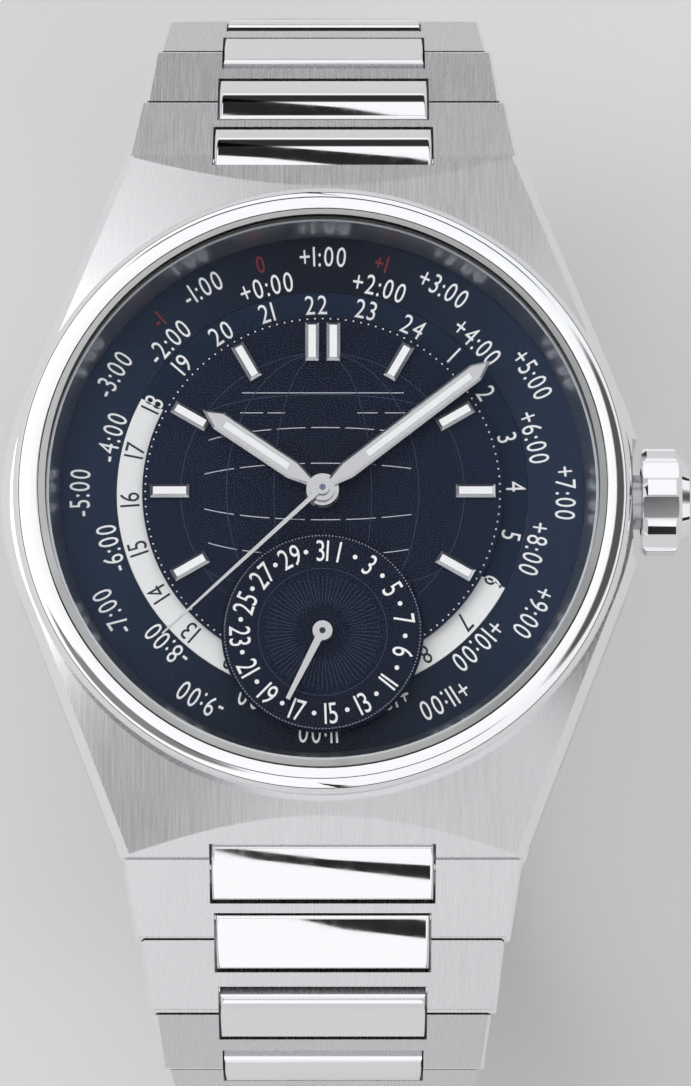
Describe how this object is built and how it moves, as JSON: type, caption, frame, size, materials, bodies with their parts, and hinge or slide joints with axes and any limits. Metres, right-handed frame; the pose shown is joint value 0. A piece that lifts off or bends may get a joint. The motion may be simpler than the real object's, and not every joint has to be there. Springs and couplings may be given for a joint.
{
  "type": "world time wristwatch",
  "caption": "Steel wristwatch with a world time dial, rotating 24 hour ring, date subdial, fluted crown and a tapered link bracelet closed by a folding clasp.",
  "frame": {"origin": "middle of the case back's outer face", "axes": "+Z out of the dial, +Y towards 12 o'clock, +X towards the crown"},
  "size_m": [0.0442, 0.0731, 0.0515],
  "materials": {
    "brushed_case": "brushed with polished bevels",
    "polished_bezel": "polished",
    "sapphire": "clear",
    "gasket_rubber": "matt",
    "rehaut_steel": "satin",
    "back_steel": "satin",
    "screw_steel": "polished",
    "tube_steel": "satin",
    "dial_navy": "satin lacquer",
    "marker_steel": "polished facets",
    "subdial_navy": "satin lacquer",
    "city_navy": "satin lacquer",
    "day_night_disc": "half white, half navy",
    "hand_steel": "polished",
    "movement_metal": "grained and rhodium plated",
    "rotor_metal": "striped",
    "gear_brass": "gilt",
    "spring_steel": "tempered",
    "balance_brass": "gilt",
    "crown_steel": "polished",
    "link_steel": "brushed arms, polished centre",
    "end_steel": "polished",
    "clasp_steel": "brushed",
    "blade_steel": "satin",
    "button_steel": "polished"
  },
  "bodies": {
    "head": {"case_body": "brushed_case", "bezel": "polished_bezel", "crystal": "sapphire", "crystal_gasket": "gasket_rubber", "rehaut_ring": "rehaut_steel", "case_back": "back_steel", "back_crystal": "sapphire", "back_gasket": "gasket_rubber", "case_back_screws": "screw_steel", "crown_tube": "tube_steel", "dial_plate": "dial_navy", "hour_markers": "marker_steel", "date_subdial": "subdial_navy", "movement_ring": "movement_metal", "main_plate": "movement_metal", "train_bridge": "movement_metal", "balance_cock": "movement_metal", "bridge_screws": "screw_steel", "end_pieces": "end_steel", "hairspring": "spring_steel"},
    "city_ring": {"city_disc": "city_navy"},
    "hour_ring": {"hour_disc": "day_night_disc"},
    "hour_hand": {"hour_hand": "hand_steel"},
    "minute_hand": {"minute_hand": "hand_steel"},
    "seconds_train": {"seconds_hand": "hand_steel", "fourth_wheel": "gear_brass"},
    "date_hand": {"date_hand": "hand_steel"},
    "crown_slide": {"crown_gasket": "gasket_rubber"},
    "crown": {"crown": "crown_steel", "winding_stem": "spring_steel"},
    "rotor": {"rotor": "rotor_metal"},
    "barrel": {"barrel": "gear_brass"},
    "second_wheel": {"second_wheel": "gear_brass"},
    "third_wheel": {"third_wheel": "gear_brass"},
    "escape_wheel": {"escape_wheel": "spring_steel"},
    "pallet_fork": {"pallet_fork": "spring_steel"},
    "balance": {"balance_wheel": "balance_brass"},
    "clasp_inner": {"clasp_inner_blade": "blade_steel"},
    "clasp_middle": {"clasp_middle_blade": "blade_steel"},
    "clasp_cover": {"clasp_cover": "clasp_steel"},
    "button_left": {"clasp_button_left": "button_steel"},
    "button_right": {"clasp_button_right": "button_steel"},
    "link_12h_1": {"link_12h_1": "link_steel"},
    "link_12h_2": {"link_12h_2": "link_steel"},
    "link_12h_3": {"link_12h_3": "link_steel"},
    "link_12h_4": {"link_12h_4": "link_steel"},
    "link_12h_5": {"link_12h_5": "link_steel"},
    "link_12h_6": {"link_12h_6": "link_steel"},
    "link_12h_7": {"link_12h_7": "link_steel"},
    "link_12h_8": {"link_12h_8": "link_steel"},
    "link_12h_9": {"link_12h_9": "link_steel"},
    "link_6h_1": {"link_6h_1": "link_steel"},
    "link_6h_2": {"link_6h_2": "link_steel"},
    "link_6h_3": {"link_6h_3": "link_steel"},
    "link_6h_4": {"link_6h_4": "link_steel"},
    "link_6h_5": {"link_6h_5": "link_steel"},
    "link_6h_6": {"link_6h_6": "link_steel"},
    "link_6h_7": {"link_6h_7": "link_steel"},
    "link_6h_8": {"link_6h_8": "link_steel"},
    "link_6h_9": {"link_6h_9": "link_steel"}
  },
  "joints": [
    {"name": "hour_ring_turn", "type": "hinge", "parent": "head", "child": "hour_ring", "pos_m": [0, 0, 0], "axis": [0, 0, 1], "continuous": true},
    {"name": "hour_hand_turn", "type": "hinge", "parent": "head", "child": "hour_hand", "pos_m": [0, 0, 0], "axis": [0, 0, 1], "continuous": true},
    {"name": "minute_hand_turn", "type": "hinge", "parent": "head", "child": "minute_hand", "pos_m": [0, 0, 0], "axis": [0, 0, 1], "continuous": true},
    {"name": "city_ring_turn", "type": "hinge", "parent": "head", "child": "city_ring", "pos_m": [0, 0, 0], "axis": [0, 0, 1], "continuous": true},
    {"name": "seconds_turn", "type": "hinge", "parent": "head", "child": "seconds_train", "pos_m": [0, 0, 0], "axis": [0, 0, 1], "continuous": true},
    {"name": "date_turn", "type": "hinge", "parent": "head", "child": "date_hand", "pos_m": [0, -0.0091, 0], "axis": [0, 0, 1], "continuous": true},
    {"name": "crown_pull", "type": "slide", "parent": "head", "child": "crown_slide", "axis": [1, 0, 0], "range_m": [0, 0.0016]},
    {"name": "crown_turn", "type": "hinge", "parent": "crown_slide", "child": "crown", "pos_m": [0.02035, 0, 0.0068], "axis": [1, 0, 0], "continuous": true},
    {"name": "rotor_turn", "type": "hinge", "parent": "head", "child": "rotor", "pos_m": [0, 0, 0], "axis": [0, 0, 1], "continuous": true},
    {"name": "barrel_turn", "type": "hinge", "parent": "head", "child": "barrel", "pos_m": [-0.00522, -0.00588, 0], "axis": [0, 0, 1], "continuous": true},
    {"name": "second_turn", "type": "hinge", "parent": "head", "child": "second_wheel", "pos_m": [-0.00618, -0.00047, 0], "axis": [0, 0, 1], "continuous": true},
    {"name": "third_turn", "type": "hinge", "parent": "head", "child": "third_wheel", "pos_m": [-0.00291, 0.00182, 0], "axis": [0, 0, 1], "continuous": true},
    {"name": "escape_turn", "type": "hinge", "parent": "head", "child": "escape_wheel", "pos_m": [0.00292, 0.00106, 0], "axis": [0, 0, 1], "continuous": true},
    {"name": "fork_rock", "type": "hinge", "parent": "head", "child": "pallet_fork", "pos_m": [0.00485, 0.0023, 0], "axis": [0, 0, 1], "range_deg": [-6, 6]},
    {"name": "balance_swing", "type": "hinge", "parent": "head", "child": "balance", "pos_m": [0.008, 0.0044, 0], "axis": [0, 0, 1], "range_deg": [-150, 150]},
    {"name": "link_12h_1_hinge", "type": "hinge", "parent": "head", "child": "link_12h_1", "pos_m": [0, 0.02309, 0.00406], "axis": [1, 0, 0], "range_deg": [0, 6]},
    {"name": "link_12h_2_hinge", "type": "hinge", "parent": "link_12h_1", "child": "link_12h_2", "pos_m": [0, 0.02603, 0.00207], "axis": [1, 0, 0], "range_deg": [0, 2]},
    {"name": "link_12h_3_hinge", "type": "hinge", "parent": "link_12h_2", "child": "link_12h_3", "pos_m": [0, 0.03032, -0.00104], "axis": [1, 0, 0], "range_deg": [0, 16]},
    {"name": "link_12h_4_hinge", "type": "hinge", "parent": "link_12h_3", "child": "link_12h_4", "pos_m": [0, 0.03358, -0.00522], "axis": [1, 0, 0], "range_deg": [0, 20]},
    {"name": "link_12h_5_hinge", "type": "hinge", "parent": "link_12h_4", "child": "link_12h_5", "pos_m": [0, 0.03522, -0.01026], "axis": [1, 0, 0], "range_deg": [0, 23]},
    {"name": "link_12h_6_hinge", "type": "hinge", "parent": "link_12h_5", "child": "link_12h_6", "pos_m": [0, 0.03476, -0.01554], "axis": [1, 0, 0], "range_deg": [0, 17]},
    {"name": "link_12h_7_hinge", "type": "hinge", "parent": "link_12h_6", "child": "link_12h_7", "pos_m": [0, 0.03277, -0.02045], "axis": [1, 0, 0], "range_deg": [0, 8]},
    {"name": "link_12h_8_hinge", "type": "hinge", "parent": "link_12h_7", "child": "link_12h_8", "pos_m": [0, 0.03012, -0.02504], "axis": [1, 0, 0], "range_deg": [0, 5.66]},
    {"name": "link_12h_9_hinge", "type": "hinge", "parent": "link_12h_8", "child": "link_12h_9", "pos_m": [0, 0.02704, -0.02935], "axis": [1, 0, 0], "range_deg": [0, 24.73]},
    {"name": "link_6h_1_hinge", "type": "hinge", "parent": "head", "child": "link_6h_1", "pos_m": [0, -0.02309, 0.00406], "axis": [-1, 0, 0], "range_deg": [0, 6]},
    {"name": "link_6h_2_hinge", "type": "hinge", "parent": "link_6h_1", "child": "link_6h_2", "pos_m": [0, -0.02603, 0.00207], "axis": [-1, 0, 0], "range_deg": [0, 3]},
    {"name": "link_6h_3_hinge", "type": "hinge", "parent": "link_6h_2", "child": "link_6h_3", "pos_m": [0, -0.03027, -0.00111], "axis": [-1, 0, 0], "range_deg": [0, 17]},
    {"name": "link_6h_4_hinge", "type": "hinge", "parent": "link_6h_3", "child": "link_6h_4", "pos_m": [0, -0.03338, -0.0054], "axis": [-1, 0, 0], "range_deg": [0, 24]},
    {"name": "link_6h_5_hinge", "type": "hinge", "parent": "link_6h_4", "child": "link_6h_5", "pos_m": [0, -0.03448, -0.01059], "axis": [-1, 0, 0], "range_deg": [0, 14]},
    {"name": "link_6h_6_hinge", "type": "hinge", "parent": "link_6h_5", "child": "link_6h_6", "pos_m": [0, -0.0343, -0.01588], "axis": [-1, 0, 0], "range_deg": [0, 10]},
    {"name": "link_6h_7_hinge", "type": "hinge", "parent": "link_6h_6", "child": "link_6h_7", "pos_m": [0, -0.0332, -0.02107], "axis": [-1, 0, 0], "range_deg": [0, 14]},
    {"name": "link_6h_8_hinge", "type": "hinge", "parent": "link_6h_7", "child": "link_6h_8", "pos_m": [0, -0.03087, -0.02583], "axis": [-1, 0, 0], "range_deg": [0, 18]},
    {"name": "link_6h_9_hinge", "type": "hinge", "parent": "link_6h_8", "child": "link_6h_9", "pos_m": [0, -0.02719, -0.02964], "axis": [-1, 0, 0], "range_deg": [0, 20]},
    {"name": "clasp_end_hinge", "type": "hinge", "parent": "link_6h_9", "child": "clasp_inner", "pos_m": [0, -0.02243, -0.03197], "axis": [-1, 0, 0], "range_deg": [0, 20]},
    {"name": "clasp_fold", "type": "hinge", "parent": "clasp_inner", "child": "clasp_middle", "pos_m": [0, 0.01899, -0.03253], "axis": [1, 0, 0], "range_deg": [0, 100]},
    {"name": "clasp_cover_fold", "type": "hinge", "parent": "clasp_middle", "child": "clasp_cover", "pos_m": [0, -0.01851, -0.03347], "axis": [-1, 0, 0], "range_deg": [0, 100]},
    {"name": "button_left_press", "type": "slide", "parent": "clasp_cover", "child": "button_left", "axis": [1, 0, 0], "range_m": [0, 0.0004], "stiffness_N_per_m": 400},
    {"name": "button_right_press", "type": "slide", "parent": "clasp_cover", "child": "button_right", "axis": [-1, 0, 0], "range_m": [0, 0.0004], "stiffness_N_per_m": 400}
  ],
  "couplings": [
    {"joint": "hour_hand_turn", "follows": "hour_ring_turn", "ratio": -2},
    {"joint": "minute_hand_turn", "follows": "hour_ring_turn", "ratio": -24},
    {"joint": "third_turn", "follows": "seconds_turn", "ratio": -0.13333},
    {"joint": "second_turn", "follows": "seconds_turn", "ratio": 0.016667},
    {"joint": "barrel_turn", "follows": "seconds_turn", "ratio": -0.0027778},
    {"joint": "escape_turn", "follows": "seconds_turn", "ratio": -10},
    {"joint": "clasp_cover_fold", "follows": "clasp_fold", "ratio": 1}
  ]
}
